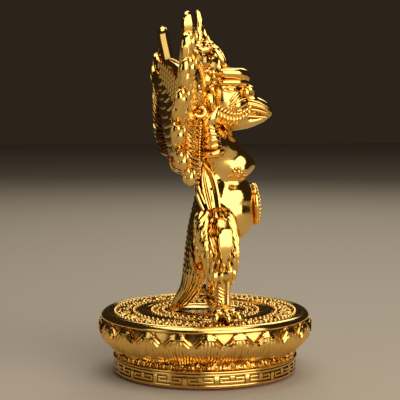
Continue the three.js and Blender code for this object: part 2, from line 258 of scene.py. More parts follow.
def carve_petals(row, radii, heights, angles):
    """Ribs on the body of each petal, its double bevelled edge, and the sunk corner over it."""
    offset = across_petal(angles)
    away = np.abs(offset)
    phase = away / petal_half_width
    step = row - bowl_rows
    outer_edge = np.minimum(rim_foot, 30.0 - 0.93 * away)
    inner_edge = 26.8 - away
    recess = -1.5 * smooth_step(1.6, 3.1, away)
    ledge = -0.75 * smooth_step(0.6, 1.5, away)
    inner = ledge * (1 - smooth_step(5.0, 6.2, away))
    if step == 0:
        return radii - 0.6 * phase, heights + 0.9 * phase
    if 0 < step <= lower_rows:
        rise = (step - 1) / (lower_rows - 1)
        top = inner_edge - 0.5
        bottom = bowl_foot - 0.9 * (1 - phase)
        blend = rise ** 1.5
        level = bottom + rise * (ribs_top - bowl_foot)
        level = level * (1 - blend) + np.minimum(top, level + 6) * blend
        spread = offset * (1 + 0.3 * (1 - rise))
        ribs = np.cos(spread * 2 * math.pi / rib_pitch)
        depth = 0.62 * (1 - rise) ** 0.9 + 0.08
        swell = -0.55 * phase ** 3 * (1 - 0.6 * rise)
        radii = bowl_radius_at(level) + depth * ribs + swell
        teeth = 0.35 * ribs if step == 1 else 0
        return radii, level - teeth
    # Level and relief of each row of the petal's edges
    places = [
        (inner_edge - 0.3, 0),
        (inner_edge + 0.25, inner),
        (outer_edge - 0.6, inner * 0.4 + ledge * 0.6),
        (outer_edge - 0.05, recess),
        (outer_edge * 0.5 + rim_foot * 0.5, recess),
        (rim_foot, recess),
        (rim_foot + 0.06, 0),
    ]
    edge = step - lower_rows - 1
    if 0 <= edge < edge_rows:
        level, relief = places[edge]
        return bowl_radius_at(level) + relief, level
    return radii, heights


def swept(points, widths, thicks, facing, steps, section, round_ends=False):
    """A body along a smooth curve through points. The upper side of its section is turned towards facing."""
    knots = np.array(points, float)
    ends = np.vstack([2 * knots[0] - knots[1], knots, 2 * knots[-1] - knots[-2]])
    share = np.linspace(0, 1, steps + 1)
    if round_ends:
        # Three more rings at each end make it a dome.
        length = np.linalg.norm(np.diff(knots, axis=0), axis=1).sum()
        dome = min(0.3, 0.8 * widths[-1] / length)
        share = np.concatenate([[0, 0.06 * dome, 0.3 * dome], np.linspace(dome, 1 - dome, steps - 1),
                                [1 - 0.3 * dome, 1 - 0.06 * dome, 1]])
    place = share * (len(knots) - 1)
    before = np.minimum(place.astype(int), len(knots) - 2)
    part = (place - before)[:, None]
    a, b, c, d = (ends[before + i] for i in range(4))
    line = 0.5 * (2 * b + (c - a) * part + (2 * a - 5 * b + 4 * c - d) * part ** 2
                  + (3 * b - a - 3 * c + d) * part ** 3)
    along = np.gradient(line, axis=0)
    along /= np.linalg.norm(along, axis=1)[:, None] + 1e-9
    facing = np.broadcast_to(np.array(facing, float), line.shape)
    out = facing - (facing * along).sum(1)[:, None] * along
    out /= np.linalg.norm(out, axis=1)[:, None] + 1e-9
    wide = np.cross(out, along)
    half_width = np.interp(share, np.linspace(0, 1, len(widths)), widths)
    half_thick = np.interp(share, np.linspace(0, 1, len(thicks)), thicks)
    if round_ends:
        from_end = np.minimum(share / dome, (1 - share) / dome).clip(0, 1)
        ease = np.sqrt(1 - (1 - from_end) ** 2).clip(0.12, 1)
        half_width = half_width * ease
        half_thick = half_thick * ease
    outline = np.array(section, float)
    rings = (line[:, None, :]
             + wide[:, None, :] * (half_width[:, None] * outline[None, :, 0])[:, :, None]
             + out[:, None, :] * (half_thick[:, None] * outline[None, :, 1])[:, :, None])
    return shell_of(rings)


def round_section(sides):
    """A circle's outline."""
    return np.stack([np.cos(turns(sides)), np.sin(turns(sides))], 1)


def bead(centre, radii, columns=8, rows=5, turn=0.0):
    """A small ball, flattened and turned about Z."""
    rings = np.zeros((rows - 1, columns, 3))
    around = turns(columns)
    for row in range(rows - 1):
        tilt = math.pi * (row + 1) / rows
        rings[row, :, 0] = np.cos(around) * math.sin(tilt)
        rings[row, :, 1] = np.sin(around) * math.sin(tilt)
        rings[row, :, 2] = math.cos(tilt)
    points, faces = shell_of(rings)
    points[-2] = (0, 0, 1)
    points[-1] = (0, 0, -1)
    points = points * np.array(radii, float)
    turned_points = points.copy()
    turned_points[:, 0] = points[:, 0] * math.cos(turn) - points[:, 1] * math.sin(turn)
    turned_points[:, 1] = points[:, 0] * math.sin(turn) + points[:, 1] * math.cos(turn)
    return turned_points + np.array(centre, float), faces


def on_circle(radius, angle, height):
    """A point on a circle round the plinth's axis."""
    return (radius * math.cos(angle), radius * math.sin(angle), height)


def bar_on_band(start, end, low, high, inner, outer):
    """One bar of the meander, bent round the foot, with bevelled edges."""
    columns = max(2, int(math.ceil((end - start) * outer / 1.5)) + 1)
    bevel = 0.16
    rings = []
    for share in np.linspace(0, 1, columns):
        angle = start + (end - start) * share
        rings.append([
            on_circle(inner, angle, low), on_circle(outer - bevel, angle, low),
            on_circle(outer, angle, low + bevel), on_circle(outer, angle, high - bevel),
            on_circle(outer - bevel, angle, high), on_circle(inner, angle, high),
        ])
    return shell_of(np.array(rings))


plinth_shells = [turned(bowl_profile, petal_count * petal_columns, carve_petals)]

# Meander on the foot band: each unit is a square spiral of raised bars, every other one mirrored.
meander_units = 38
meander_grid = [
    "111111111",
    "000000001",
    "111111101",
    "100000101",
    "101111101",
    "100000001",
    "111111111",
]
bar_height, gap_height = 1.12, 0.62
bar_width, gap_width = 1.0, 0.62
meander_low = 1.55
bar_back, bar_front = 44.6, 45.6
unit_angle = 2 * math.pi / meander_units


def grid_edges(first, second, count):
    """Edges of rows or columns that are bars and gaps by turns, as shares of their whole width."""
    edges = np.cumsum([0] + [first if place % 2 == 0 else second for place in range(count)])
    return edges / edges[-1]


row_edges = meander_low + grid_edges(bar_height, gap_height, 7) * (4 * bar_height + 3 * gap_height)
column_edges = grid_edges(bar_width, gap_width, 9) * unit_angle
for unit in range(meander_units):
    grid = [line[::-1] if unit % 2 else line for line in meander_grid]
    edges = unit * unit_angle + column_edges
    for row, line in enumerate(grid):
        for run in re.finditer("11+", line):
            plinth_shells.append(bar_on_band(edges[run.start()], edges[run.end()], row_edges[row],
                                             row_edges[row + 1], bar_back, bar_front))
    # The upright bars stand back a hair, so that no two faces lie in one plane.
    for column in range(0, 9, 2):
        for run in re.finditer("11+", "".join(line[column] for line in grid)):
            plinth_shells.append(bar_on_band(edges[column], edges[column + 1], row_edges[run.start()],
                                             row_edges[run.end()], bar_back, bar_front - 0.02))

# Scrolls on the slope: a running row of small spirals with a leaf between them.
scroll_count = 72
slope_radius = 44
slope_level = 11.1
for scroll, middle in enumerate(turns(scroll_count)):
    curl = []
    for share in np.linspace(0, 1, 9):
        turn = share * 2.3 * math.pi
        reach = 1.55 * (1 - 0.72 * share)
        sideways = reach * math.cos(turn) * (1 if scroll % 2 else -1)
        upwards = reach * math.sin(turn)
        at_curl = middle + sideways / slope_radius
        curl.append(on_circle(slope_radius + 0.15 - 0.52 * upwards, at_curl, slope_level + upwards))
    facing = on_circle(1, middle, 0.5)
    plinth_shells.append(swept(curl, [0.34, 0.42, 0.3], [0.3, 0.4, 0.3], facing, 12, round_section(5)))
    between = middle + math.pi / scroll_count
    small_leaf = [on_circle(radius, between, level)
                  for radius, level in ((44.9, 9.7), (44.25, 11.1), (43.4, 12.7))]
    plinth_shells.append(swept(small_leaf, [0.2, 0.5, 0.1], [0.35, 0.45, 0.2], facing, 5, round_section(6)))

# Raised edges of the petals: a bar across the tip and two bars a side that run down from it, all tipped
# outwards, with two small drops under the tip.
bar_face = [(-1, 0), (-0.8, 0.9), (0.8, 0.9), (1, 0), (0.8, -1), (-0.8, -1)]


def on_petal(middle, sideways, level, proud):
    """A point on the bowl, off a petal's middle line and proud of its surface."""
    return on_circle(bowl_radius_at(level) + proud, middle + sideways / bowl_radius, level)


for petal in range(petal_count):
    middle = -math.pi / 2 + (petal + petal_turn) * petal_pitch
    tip_line = [on_petal(middle, *place) for place in ((-3.9, 25.7, 0.1), (0, 26.5, 0.4), (3.9, 25.7, 0.1))]
    plinth_shells.append(swept(tip_line, [0.8, 1.75, 0.8], [0.5, 0.6, 0.5], on_circle(0.9, middle, 0.4), 8,
                               bar_face, True))
    for side in (-1, 1):
        # The upper bar and the lower one: level of its start, where it begins and ends, and half width
        for start, near, far, width in ((28.5, 2.0, 6.7, 0.6), (26.6, 2.6, 6.1, 0.55)):
            bar = [on_petal(middle, side * away, start - 0.88 * away, 0.15)
                   for away in np.linspace(near, far, 4)]
            tipped = np.array(on_circle(0.75, middle, 0.36)) + on_circle(0.8 * side, middle + math.pi / 2, 0)
            plinth_shells.append(swept(bar, [width, width, width * 0.9], [0.6, 0.62, 0.5], tipped, 6,
                                       bar_face, True))
        drop = [on_petal(middle, side * 1.1, 24.4, 0), on_petal(middle, side * 2.6, 22.4, 0)]
        plinth_shells.append(swept(drop, [0.4, 0.75, 0.4], [0.3, 0.5, 0.3], on_circle(1, middle, 0.3), 5,
                                   round_section(6), True))

# Plate: plain polished bands and thin raised lines between two sunk rings of beads and flowers.
plate_profile = [
    (0, 28.6), (47.7, 28.6), (47.7, 30.45), (47.4, 30.75), (47.05, 30.75), (46.8, 30.55), (46.6, 30.6),
    (46.5, 29.2), (34.2, 29.2), (34.1, 30.6), (33.9, 30.9), (33.4, 30.9), (33.2, 30.5), (32.9, 30.5),
    (32.7, 30.85), (32.2, 30.85), (32.0, 30.5), (31.6, 30.5), (31.4, 30.8), (31.0, 30.8), (30.8, 30.5),
    (28.75, 30.6), (28.65, 30.8), (28.4, 30.75), (28.3, 29.2), (19.3, 29.2), (19.2, 30.75), (18.9, 30.8),
    (18.7, 30.6), (12.6, 30.6), (12.4, 30.75), (12.0, 30.75), (11.8, 30.6), (0, 30.6),
]
plate_columns = 176
plinth_shells.append(turned(plate_profile, plate_columns))
ring_floor = 29.5
# Rows of beads along the edges of the two rings: radius, how many, and how large
for radius, count, size in ((45.0, 88, 1.25), (35.7, 70, 1.25), (26.6, 54, 1.35), (21.2, 43, 1.35)):
    for angle in turns(count):
        plinth_shells.append(bead(on_circle(radius, angle, ring_floor + 0.6), (size, size, 1.25)))
# Slanting links in the inner ring, and flowers with a leaf on each side in the outer one
link_count = 44
link_radius = 23.9
for link, angle in enumerate(turns(link_count)):
    lean = angle + math.pi / 2 + (0.6 if link % 2 else -0.6)
    plinth_shells.append(bead(on_circle(link_radius, angle, ring_floor + 0.2), (1.45, 0.75, 0.95), turn=lean))
flower_count = 26
flower_radius = 40.4
for middle in turns(flower_count):
    centre = np.array(on_circle(flower_radius, middle, ring_floor + 0.4))
    plinth_shells.append(bead(centre + (0, 0, 0.3), (0.9, 0.9, 0.9)))
    for around in middle + turns(5):
        at_petal = centre + 1.9 * np.array((math.cos(around), math.sin(around), 0))
        plinth_shells.append(bead(at_petal, (1.35, 1.0, 1.15), turn=around))
    between = middle + math.pi / flower_count
    for side in (-1, 1):
        root = on_circle(flower_radius - side * 3.1, between - 0.03, ring_floor + 0.4)
        bend = on_circle(flower_radius - side * 0.4, between + side * 0.045, ring_floor + 1.0)
        tip = on_circle(flower_radius + side * 3.2, between + 0.012, ring_floor + 0.5)
        plinth_shells.append(swept([root, bend, tip], [0.45, 0.95, 0.3], [0.5, 0.8, 0.3], (0, 0, 1), 6,
                                   round_section(6)))

plinth = mesh_object("lotus_plinth_gold", plinth_shells, 50)


def gold_finish(name, pale, dark_or_shade, roughness, ripple):
    """Polished gold plating with the ripple of a cast surface. Its colour is pale outside and darker in
    recesses and creases. The darkening is painted shade from an ambient occlusion node.
    """
    material, nodes, links = new_material(name)
    shader = nodes["Principled BSDF"]
    shader.inputs["Metallic"].default_value = 1.0
    # Painted shade: ambient occlusion darkens the base colour in recesses, in creases and between parts.
    painted_shade = new_node(nodes, "AmbientOcclusion", distance=0.0035)
    painted_shade.samples = 6
    shade_ramp = new_ramp(nodes, dark_or_shade, pale, 0.25, 0.85)
    links.new(painted_shade.outputs["AO"], shade_ramp.inputs["Fac"])
    links.new(shade_ramp.outputs["Color"], shader.inputs["Base Color"])
    clouds = new_node(nodes, "TexNoise", scale=180, detail=3)
    gloss = new_node(nodes, "MapRange", to_min=roughness * 0.7, to_max=roughness * 1.4)
    links.new(clouds.outputs["Fac"], gloss.inputs["Value"])
    links.new(gloss.outputs["Result"], shader.inputs["Roughness"])
    waves = new_node(nodes, "TexNoise", scale=320, detail=2)
    bump = new_node(nodes, "Bump", strength=0.6, distance=ripple)
    links.new(waves.outputs["Fac"], bump.inputs["Height"])
    links.new(bump.outputs["Normal"], shader.inputs["Normal"])
    return material


# The plinth's dark gold colour is painted shade for its recesses.
plinth.data.materials.append(gold_finish(
    "plinth_gold", pale=(1.0, 0.64, 0.17), dark_or_shade=(0.40, 0.19, 0.03), roughness=0.11, ripple=0.00004))
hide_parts("lotus_plinth")
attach(plinth, "root")

# Garuda: one hollow casting from the soles to the tip of the crown, polished and gold plated, and
# soldered to the plate by its feet and its tail. The smooth forms come first: trunk, limbs and head.
# Heights are counted from the top of the plate.
sides_of_figure = (-1, 1)
# How much further forward each leg stands: the right one at -1, the left one at 1
leg_forward = {-1: 0, 1: 3.2}
thigh_radii = [6.4, 9.2, 8.5, 5.6]


def on_side(side, *points):
    """Points on one side of the figure, given for its left side, at +X."""
    return [np.array((side * x, y, z), float) for x, y, z in points]


def on_leg(side, *points):
    """Points on one leg, with their depths given as on the right one."""
    return on_side(side, *((x, y - leg_forward[side], z) for x, y, z in points))


def thigh_line(side):
    """Points down the middle of a thigh, from the hip to the shank."""
    return on_side(side, (9, -3.4, 53)) + on_leg(side, (17, -2.6, 44), (24, -4.4, 32), (28, -4.5, 16))


def mass(centre, radii, lean=0.0):
    """An egg-shaped part of the body. lean tips its top backwards."""
    points, faces = bead((0, 0, 0), radii, 28, 18)
    tipped = points.copy()
    tipped[:, 1] = points[:, 1] * math.cos(lean) + points[:, 2] * math.sin(lean)
    tipped[:, 2] = points[:, 2] * math.cos(lean) - points[:, 1] * math.sin(lean)
    return tipped + np.array(centre, float), faces


def limb(points, widths, flat=1.0, facing=(0, -1, 0), steps=24):
    """A rounded limb through a few points, with a half width at each of them."""
    return swept(points, widths, [width * flat for width in widths], facing, steps,
                 round_section(18), round_ends=True)


def melted(name, shells, voxel, rounds):
    """The shells run together into one smooth skin, as in a wax that is smoothed before casting."""
    rough = mesh_object(name, shells)
    skin = rough.modifiers.new("skin", "REMESH")
    skin.mode = "VOXEL"
    skin.voxel_size = voxel * 0.001
    rub = rough.modifiers.new("rub", "SMOOTH")
    rub.factor = 0.5
    rub.iterations = rounds
    evaluated = rough.evaluated_get(bpy.context.evaluated_depsgraph_get())
    mesh = evaluated.to_mesh()
    points = np.zeros(len(mesh.vertices) * 3)
    mesh.vertices.foreach_get("co", points)
    faces = [tuple(polygon.vertices) for polygon in mesh.polygons]
    evaluated.to_mesh_clear()
    bpy.data.objects.remove(rough)
    return points.reshape(-1, 3) * 1000, faces


# Belly with its top, waist, chest, rump, breastbone and neck
body_shells = [
    mass((0, -10.5, 49.2), (17, 15, 16.2)),
    mass((0, -11.2, 55.4), (16.4, 14.5, 12.4)),
    mass((0, -6, 58), (15.5, 9.3, 12)),
    mass((0, -6.5, 74), (16.5, 12.5, 13.5)),
    mass((0, -3.6, 43), (16, 10, 13)),
    limb([(0, -4, 92), (0, -9, 83), (0, -16, 75)], [6.5, 9.5, 7.0], 0.75),
    limb([(0, -6, 76), (0, -5.5, 86), (0, -7, 97)], [11, 8.2, 8.0]),
]
# Skull, forehead, lower face, and the hooked beak with the jaw under it
head_shells = [
    mass((0, -9.3, 104.5), (10.8, 11.4, 15)),
    mass((0, -13.0, 116.6), (8.8, 7.8, 3.4)),
    mass((0, -16.6, 114.6), (6.6, 4.6, 5.0)),
    mass((0, -11.5, 97), (9.6, 12, 6.2)),
    limb([(0, -13, 102.0), (0, -22, 102.4), (0, -28.4, 101), (0, -32.2, 98.6)], [7.2, 6.4, 4.9, 3.0],
         0.76, (0, 0, 1)),
    mass((0, -29.2, 98.6), (3.9, 4.7, 4.1), 0.3),
    limb([(0, -11, 93.6), (0, -21, 93.9), (0, -31, 96.0)], [7.6, 5.6, 2.6], 0.62, (0, 0, 1)),
]
for side in sides_of_figure:
    step = leg_forward[side]
    # Breast with its upper and lower slopes, and the flank
    body_shells += [
        mass((side * 5.6, -14.5, 74.2), (8.0, 10.2, 6.3), -0.25),
        mass((side * 7.4, -8.0, 80.4), (9.4, 8.6, 7.4)),
        mass((side * 5.0, -13.2, 78.9), (7.4, 9.6, 5.2), -0.6),
        mass((side * 6.5, -13.4, 70.8), (9.2, 9.0, 5.3)),
        mass((side * 11, -2.4 - 0.6 * step, 60.5), (7.2, 4.9, 9)),
    ]
    # Side of the rump, thigh and shank
    body_shells += [
        limb(on_side(side, (8, -4.4, 58), (12, -0.8 - 0.5 * step, 46), (13, 2.2 - 0.5 * step, 33),
                     (10.5, 3.8, 22)), [6.6, 5.8, 5.8, 4.5]),
        limb(thigh_line(side), thigh_radii),
        limb(on_leg(side, (28, -4.6, 24), (28.6, -4.4, 12), (29, -4.4, 2)), [4.6, 3.5, 3.8]),
    ]
    # Upper arm, forearm and wrist
    body_shells += [
        limb(on_side(side, (9, -3, 84), (17, -2.6, 84), (26, -0.6, 80)), [8, 6.6, 5.2]),
        limb(on_side(side, (26.5, -0.2, 79.5), (28.6, 0.4, 86), (29.2, 2.0, 95)), [4.6, 4.2, 3.6]),
        limb(on_side(side, (29.2, 1.6, 93), (29.2, 4.2, 99)), [3.8, 3.8], 0.8),
    ]
    # The knob over the beak, and the cheek
    head_shells += [
        mass((side * 4.2, -21.2, 109.6), (3.6, 3.0, 2.5)),
        mass((side * 2.4, -22.6, 107.2), (2.6, 2.6, 2.7)),
        mass((side * 7.6, -12, 100.5), (3.2, 6.5, 3.6)),
    ]
# Tail, from the waist down to the plate, and the roots of the wings behind the shoulders
tail_spine = [(0, -5, 58), (0, -0.2, 40), (0, 3.3, 24), (0, 6.2, 12), (0, 10.4, 5.6), (0, 14.4, 1.0)]
tail_widths = [14, 13.5, 12.5, 10.5, 8.5, 6.5]
tail_thicks = [8, 7.6, 6.0, 4.4, 3.2, 1.6]
body_shells.append(swept(tail_spine, tail_widths, tail_thicks, (0, 1, 0), 20, round_section(18)))
for side in sides_of_figure:
    body_shells.append(limb(on_side(side, (4, 1, 80), (9, 3.4, 92), (14, 5.2, 104)), [8, 7, 5], 0.8))
figure_shells = [
    melted("trunk_wax", body_shells, 1.4, 5),
    melted("head_wax", head_shells, 0.8, 4),
]
trunk_skin, head_skin = (BVHTree.FromPolygons(points.tolist(), faces) for points, faces in figure_shells)


def on_skin(skin, place, lift=0.0):
    """The point of a smooth skin nearest to a place, lifted off it, and the direction straight out of it."""
    found, straight_out = skin.find_nearest(Vector(place))[:2]
    return np.array(found) + np.array(straight_out) * lift, np.array(straight_out)


def cast(shell):
    """Adds a shell to the casting of the figure."""
    figure_shells.append(shell)


def cast_roll(points, widths, thicks, facing, steps, sides=8, round_ends=True):
    """Adds a rounded roll along a curve to the casting of the figure."""
    cast(swept(points, widths, thicks, facing, steps, round_section(sides), round_ends))


# Wings: cast in one with the back. Each is a fan of long ridged feathers that end in thick curls,
# under shorter feathers and small scales, and its topmost feather stands straight up.
def wing_depth(side, out, up):
    """Depth of a wing's middle surface. The right wing's top comes further forward than the left one's."""
    above = max(0.0, up - 90)
    below = max(0.0, 90 - up)
    top_dish = min(5.4, 0.0075 * above ** 2) if side < 0 else 0.0011 * above ** 2
    dish = top_dish + 0.0045 * below ** 2
    sweep = 0.32 if side < 0 else 0.32 - 0.032 * min(1.0, max(0.0, (125 - up) / 15))
    return 4.5 + sweep * (out - 8) - dish * out / 59


def on_wing(side, out, up, lift=0.0):
    """A point on a wing, lifted off its middle surface backwards. The left wing's foot is a little higher."""
    level = up if side < 0 else up + 0.2 * max(0.0, 88 - up)
    return (side * out, wing_depth(side, out, up) + lift, level)


def wing_line(side, *places):
    """Points on a wing, each given by how far out, how high and how far off its middle surface it is."""
    return [on_wing(side, *place) for place in places]


def ridged_section(ridges, hollow=0.45):
    """A flat outline with rounded ridges along both of its faces."""
    top = []
    for place in range(2 * ridges + 1):
        across = -1 + place / ridges
        height = (1.0 if place % 2 else hollow) * math.sqrt(max(0.0, 1 - 0.8 * across * across))
        top.append((across, height))
    bottom = [(across, -height) for across, height in top[-2:0:-1]]
    return np.array(top + bottom)


def curved(root, bend, tip, count=7):
    """Points of a smooth bow from root to tip, pulled towards bend."""
    root, bend, tip = (np.array(point, float) for point in (root, bend, tip))
    share = np.linspace(0, 1, count)[:, None]
    return (1 - share) ** 2 * root + 2 * share * (1 - share) * bend + share ** 2 * tip


def plume(root, bend, tip, half_width, half_thick, facing, ridges=3, steps=10, blunt=0.55, hollow=0.45):
    """A long feather with ridges along it. blunt is the share of its width that is left at the tip."""
    widths = half_width * np.array([0.7, 0.9, 1.0, 1.0, 0.97, 0.9, blunt])
    thicks = half_thick * np.array([0.8, 1.0, 1.0, 0.95, 0.95, 1.0, 1.0])
    return swept(curved(root, bend, tip), widths, thicks, facing, steps, ridged_section(ridges, hollow), True)


def leaf(root, bend, tip, half_width, half_thick, facing, steps=5):
    """A small pointed feather or leaf with a raised midrib."""
    rib = [(-1, 0), (-0.5, 0.45), (0, 1), (0.5, 0.45), (1, 0), (0, -0.6)]
    widths = half_width * np.array([0.55, 0.95, 1.0, 0.72, 0.08])
    thicks = half_thick * np.array([0.8, 1.0, 0.9, 0.7, 0.3])
    return swept(curved(root, bend, tip, 5), widths, thicks, facing, steps, rib)


# Root, bend and tip of each long feather: how far out from the middle, and how high
fan = np.array([
    ((40, 111), (55, 114), (59.0, 135)),
    ((36, 105), (52, 103), (61, 123.5)),
    ((31, 99), (49, 92), (61.5, 109.5)),
    ((26, 93), (44, 81), (60, 93.5)),
    ((20, 88), (38, 74), (56, 81.5)),
    ((13, 85), (27, 71.5), (44, 73.5)),
])
last_feather = len(fan) - 1
# The three lobes of a curled tip: how far in and down from it, how far off the wing, and how thick
lobes = ((0.4, 0.0, 0.4, 1.6), (1.6, 0.9, -2.1, 1.15), (2.0, 2.9, 2.3, 1.25))
short_feathers = {-2.2: 5, 2.2: 8}
scale_rows, scales_in_row = 8, 13
edge_beads = 20
barbs = 13
strands = 21
for side in sides_of_figure:
    facing = np.array((-side * 0.3, 0.95, 0))
    # The upright feather, which leans forward a little on the left wing
    lifts, thick = ((0, 0, 0), 2.9) if side < 0 else ((-3.3, -5.0, -0.6), 3.0)
    upright = wing_line(side, (44, 114, lifts[0]), (53, 119, lifts[1]), (57, 143.9, lifts[2]))
    cast(plume(*upright, 4.6, thick, facing, 2, 16, 1.0))
    for row, (root, bend, tip) in enumerate(fan):
        # The left wing's first long feather leans against the upright one.
        lean_in = -3.4 if side > 0 and row == 0 else 0.0
        long_line = wing_line(side, root, (*bend, lean_in * 0.6), (*tip, lean_in))
        cast(plume(*long_line, 6.4, 2.5, facing, 5, 13, 0.75, 0.3))
        # A narrower feather fills the gap to the next one.
        if row < last_feather:
            between = (fan[row] + fan[row + 1]) / 2
            between[2] += (-1.0, 0.5)
            cast(plume(*wing_line(side, *between), 4.6, 2.2, facing, 4, 11, 0.55, 0.35))
        # A thick curl of three lobes round a ball ends each of the long ones.
        forward, size = (-1.9, 1.0) if side < 0 else (lean_in - 1.2, 0.6)
        cast(bead(on_wing(side, tip[0] - 1.6, tip[1] - 4.6, forward), (2.3, 2.4 * size, 3.8), 12, 8))
        for inward, lower, lift, width in lobes:
            curl = wing_line(side, (tip[0] - inward - 1.4, tip[1] - lower - 4.8, forward + lift * 0.5 * size),
                             (tip[0] - inward + 0.2, tip[1] - lower - 2.2, forward + lift * size),
                             (tip[0] - inward, tip[1] - lower, forward + lift * size))
            cast_roll(curl, [1.3, width * 1.1, width], [1.2, width * 1.1, width], facing, 5, 9)
    for lift, count in short_feathers.items():
        # Shorter feathers over the roots of the long ones, on the front and on the back
        for place in range(count):
            share = place / 7
            short_line = wing_line(side, (40 - 30 * share, 115 - 30 * share, lift),
                                   (50 - 24 * share, 108 - 30 * share, lift * 1.5),
                                   (56 - 18 * share, 120 - 44 * share, lift * 0.8))
            cast(plume(*short_line, 4.4, 1.5, facing, 3, 8))
        # Small scales in staggered rows down from the leading edge
        for row in range(scale_rows):
            for place in range(scales_in_row):
                share = (place + 0.5 * (row % 2)) / 12.6
                out = 45 - 36 * share - 0.4 * row
                up = 122 - 15 * share ** 1.6 - 3.1 * row + 3 * (1 - share)
                rise = lift * (1.55 - 0.08 * row)
                scale_line = wing_line(side, (out, up, rise), (out + 1.0, up - 2.0, rise * 1.14),
                                       (out + 2.4, up - 4.0, rise * 0.9))
                cast(leaf(*scale_line, 1.75, 0.8, facing * (1 if lift > 0 else -1), 2))
    # Leading edge: a thick covered bone from the shoulder out to the upright feather, with a beaded line
    edge = wing_line(side, (6, 95, -1.5), (12, 108, -0.6), (27, 117, -1.4), (49, 123, -2.6))
    cast_roll(edge, [6.5, 4.6, 4.0, 3.4], [6, 4.2, 3.6, 2.8], facing, 18, 10, False)
    for place in range(edge_beads):
        share = place / (edge_beads - 1)
        at_edge = on_wing(side, 14 + 34 * share, 113.5 + 12.5 * math.sin(share * 1.4), -3.4)
        cast(bead(at_edge, (0.95, 0.95, 0.95), 6, 5))
    # Barbs of the innermost feathers, which curve down and then forward behind the arm
    for place in range(barbs):
        level = 98.8 - 2.2 * place
        barb = on_side(side, (37.0, 14.0, level), (38.4, 12.6, level - 3.4), (37.0, 9.8, level - 5.6),
                       (33.0, 7.0, level - 6.4))
        cast_roll(barb, [0.5, 0.8, 0.8, 0.5], [0.6, 0.95, 0.95, 0.6], (side, 0.2, 0.3), 9)
    # Narrow strands along the back of the long feathers, which hook up at their tips as the feathers do
    for place in range(strands):
        spot = place / (strands - 1) * last_feather
        root, bend, tip = ([np.interp(spot, range(len(fan)), fan[:, point, axis]) for axis in (0, 1)]
                           for point in range(3))
        lean_in = -3.6 * max(0.0, 1.0 - spot) if side > 0 else 0.0
        strand = curved(*wing_line(side, (*root, 2.2), (*bend, 2.9 + lean_in * 0.6),
                                   (tip[0] - 2.2, tip[1] - 3.0, 2.3 + lean_in)))
        cast_roll(strand, [0.4, 0.7, 0.75, 0.7, 0.05], [0.7, 1.0, 1.0, 0.8, 0.05], facing, 9, 6, False)
    # The thin panel behind the feathers, in five strips
    panel_low = wing_line(side, (8, 76), (20, 74), (36, 73), (47, 80), (54, 96))
    panel_high = wing_line(side, (8, 100), (14, 106), (24, 112), (34, 116), (44, 119))
    for low, high in zip(panel_low, panel_high):
        strip = [low, (np.array(low) + high) / 2, high]
        cast_roll(strip, [6.6, 7.2, 6.2], [1.1, 1.2, 1.1], facing, 6, 8, False)

# Crown: a tall stepped cone on an axis that leans back, cast with the head. Rows of flame leaves with
# beads at their roots stand round it, and five ribs draw its tip together.
crown_base = np.array((0, -1.6, 112))
crown_tip = np.array((0, 3.9, 148.4))
crown_height = 36.4
# Steps of the cone from base to tip: share of the height, and radius
crown_steps = [
    (0, 9.6), (0.06, 9.9), (0.07, 10.5), (0.11, 10.6), (0.12, 9.9), (0.2, 9.9), (0.21, 10.7), (0.25, 10.6),
    (0.26, 9.7), (0.33, 9.6), (0.34, 10.3), (0.38, 10.1), (0.39, 9.0), (0.43, 8.3), (0.44, 8.9), (0.47, 8.2),
    (0.48, 7.0), (0.52, 6.0), (0.53, 6.3), (0.55, 5.6), (0.56, 4.3), (0.6, 3.2), (0.61, 3.5), (0.63, 3.1),
    (0.64, 2.4), (0.7, 1.9), (0.71, 2.1), (0.73, 1.9), (0.85, 1.4), (0.95, 1.1), (1.0, 0.8),
]
crown_columns = 36
# Rows of leaves: share of the height, radius, how many, and how tall and wide they are
crown_leaves = (
    (0.09, 10.0, 18, 4.6, 1.75), (0.22, 10.1, 18, 4.6, 1.7), (0.34, 9.6, 16, 4.4, 1.6),
    (0.42, 8.2, 14, 3.8, 1.5), (0.5, 6.1, 11, 3.6, 1.4), (0.58, 3.2, 8, 3.8, 1.2), (0.67, 1.9, 6, 4.6, 0.9))
tip_ribs = 5


def on_crown(share, radius, angle):
    """A point round the crown's leaning axis."""
    return crown_base + (crown_tip - crown_base) * share + on_circle(radius, angle, 0)


crown_rings = [[on_crown(share, radius, angle) for angle in turns(crown_columns)]
               for share, radius in crown_steps]
cast(shell_of(np.array(crown_rings)))
step_shares, step_radii = zip(*crown_steps)
for share, radius, count, height, width in crown_leaves:
    # Each leaf leans in with the cone over it.
    taper = np.interp(share + height / crown_height, step_shares, step_radii) - radius
    proud = 1.3 if share < 0.5 else 0.7
    rise = np.array((0, 0.5, height))
    for angle in turns(count, 0.5):
        out = np.array(on_circle(1, angle, 0))
        over_the_brow = share < 0.2 and out[1] < -0.4
        if over_the_brow:
            continue
        root = on_crown(share, radius, angle)
        cast(leaf(root, root + out * (proud + 0.4 * taper) + rise * 0.5,
                  root + out * (0.4 * proud + taper) + rise, width, 1.0, out))
        cast(bead(on_crown(share - 0.01, radius + 0.5, angle), (0.75, 0.75, 0.75), 6, 5))
        between = on_crown(share, radius, angle + math.pi / count)
        cast(leaf(between, between + out * (0.7 + 0.3 * taper) + rise * 0.3,
                  between + out * (0.3 + 0.6 * taper) + rise * 0.6, width * 0.6, 0.8, out, 4))
for angle in 0.3 + turns(tip_ribs):
    rib_line = (on_crown(0.62, 3.0, angle), on_crown(0.8, 1.4, angle), on_crown(0.985, 0.6, angle))
    cast(plume(*rib_line, 0.9, 0.7, on_circle(1, angle, 0), 1, 9))

# Face and headdress, cast with the head: a double brow, a knob over a grooved beak, folds of cheek, a
# beard of wavy locks, a guard down the side of the face, and an ear disc with leaves above and below.
smooth_face = [(-1, 0), (-0.8, 0.8), (0, 1), (0.8, 0.8), (1, 0), (0.7, -1), (-0.7, -1)]
eye_level = 109.4
